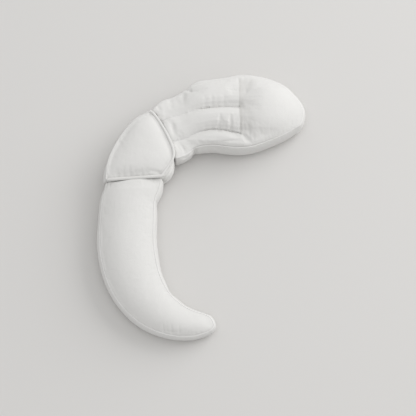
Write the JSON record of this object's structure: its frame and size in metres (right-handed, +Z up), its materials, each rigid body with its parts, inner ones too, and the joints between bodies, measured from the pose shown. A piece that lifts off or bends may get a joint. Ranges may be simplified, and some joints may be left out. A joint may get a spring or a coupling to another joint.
{
  "type": "crescent pillow",
  "caption": "C-shaped body pillow in plain off-white cotton, sewn from boxed cushions, with piping round the knee's panel and sewn channels in the upper arm.",
  "frame": {"origin": "middle of the footprint, on the surface that the pillow lies on", "axes": "+Z up through the pillow's thickness, +Y from the tapering lower arm towards the upper arm, +X towards the open side of the crescent"},
  "size_m": [0.7154, 0.9266, 0.1343],
  "materials": {
    "cotton": "matt plain-woven cotton",
    "piping": "matt cotton drawn tight over a cord"
  },
  "bodies": {
    "root": {"lower_arm": "cotton", "knee": "cotton", "knee_piping": "piping", "upper_arm": "cotton"}
  },
  "joints": []
}
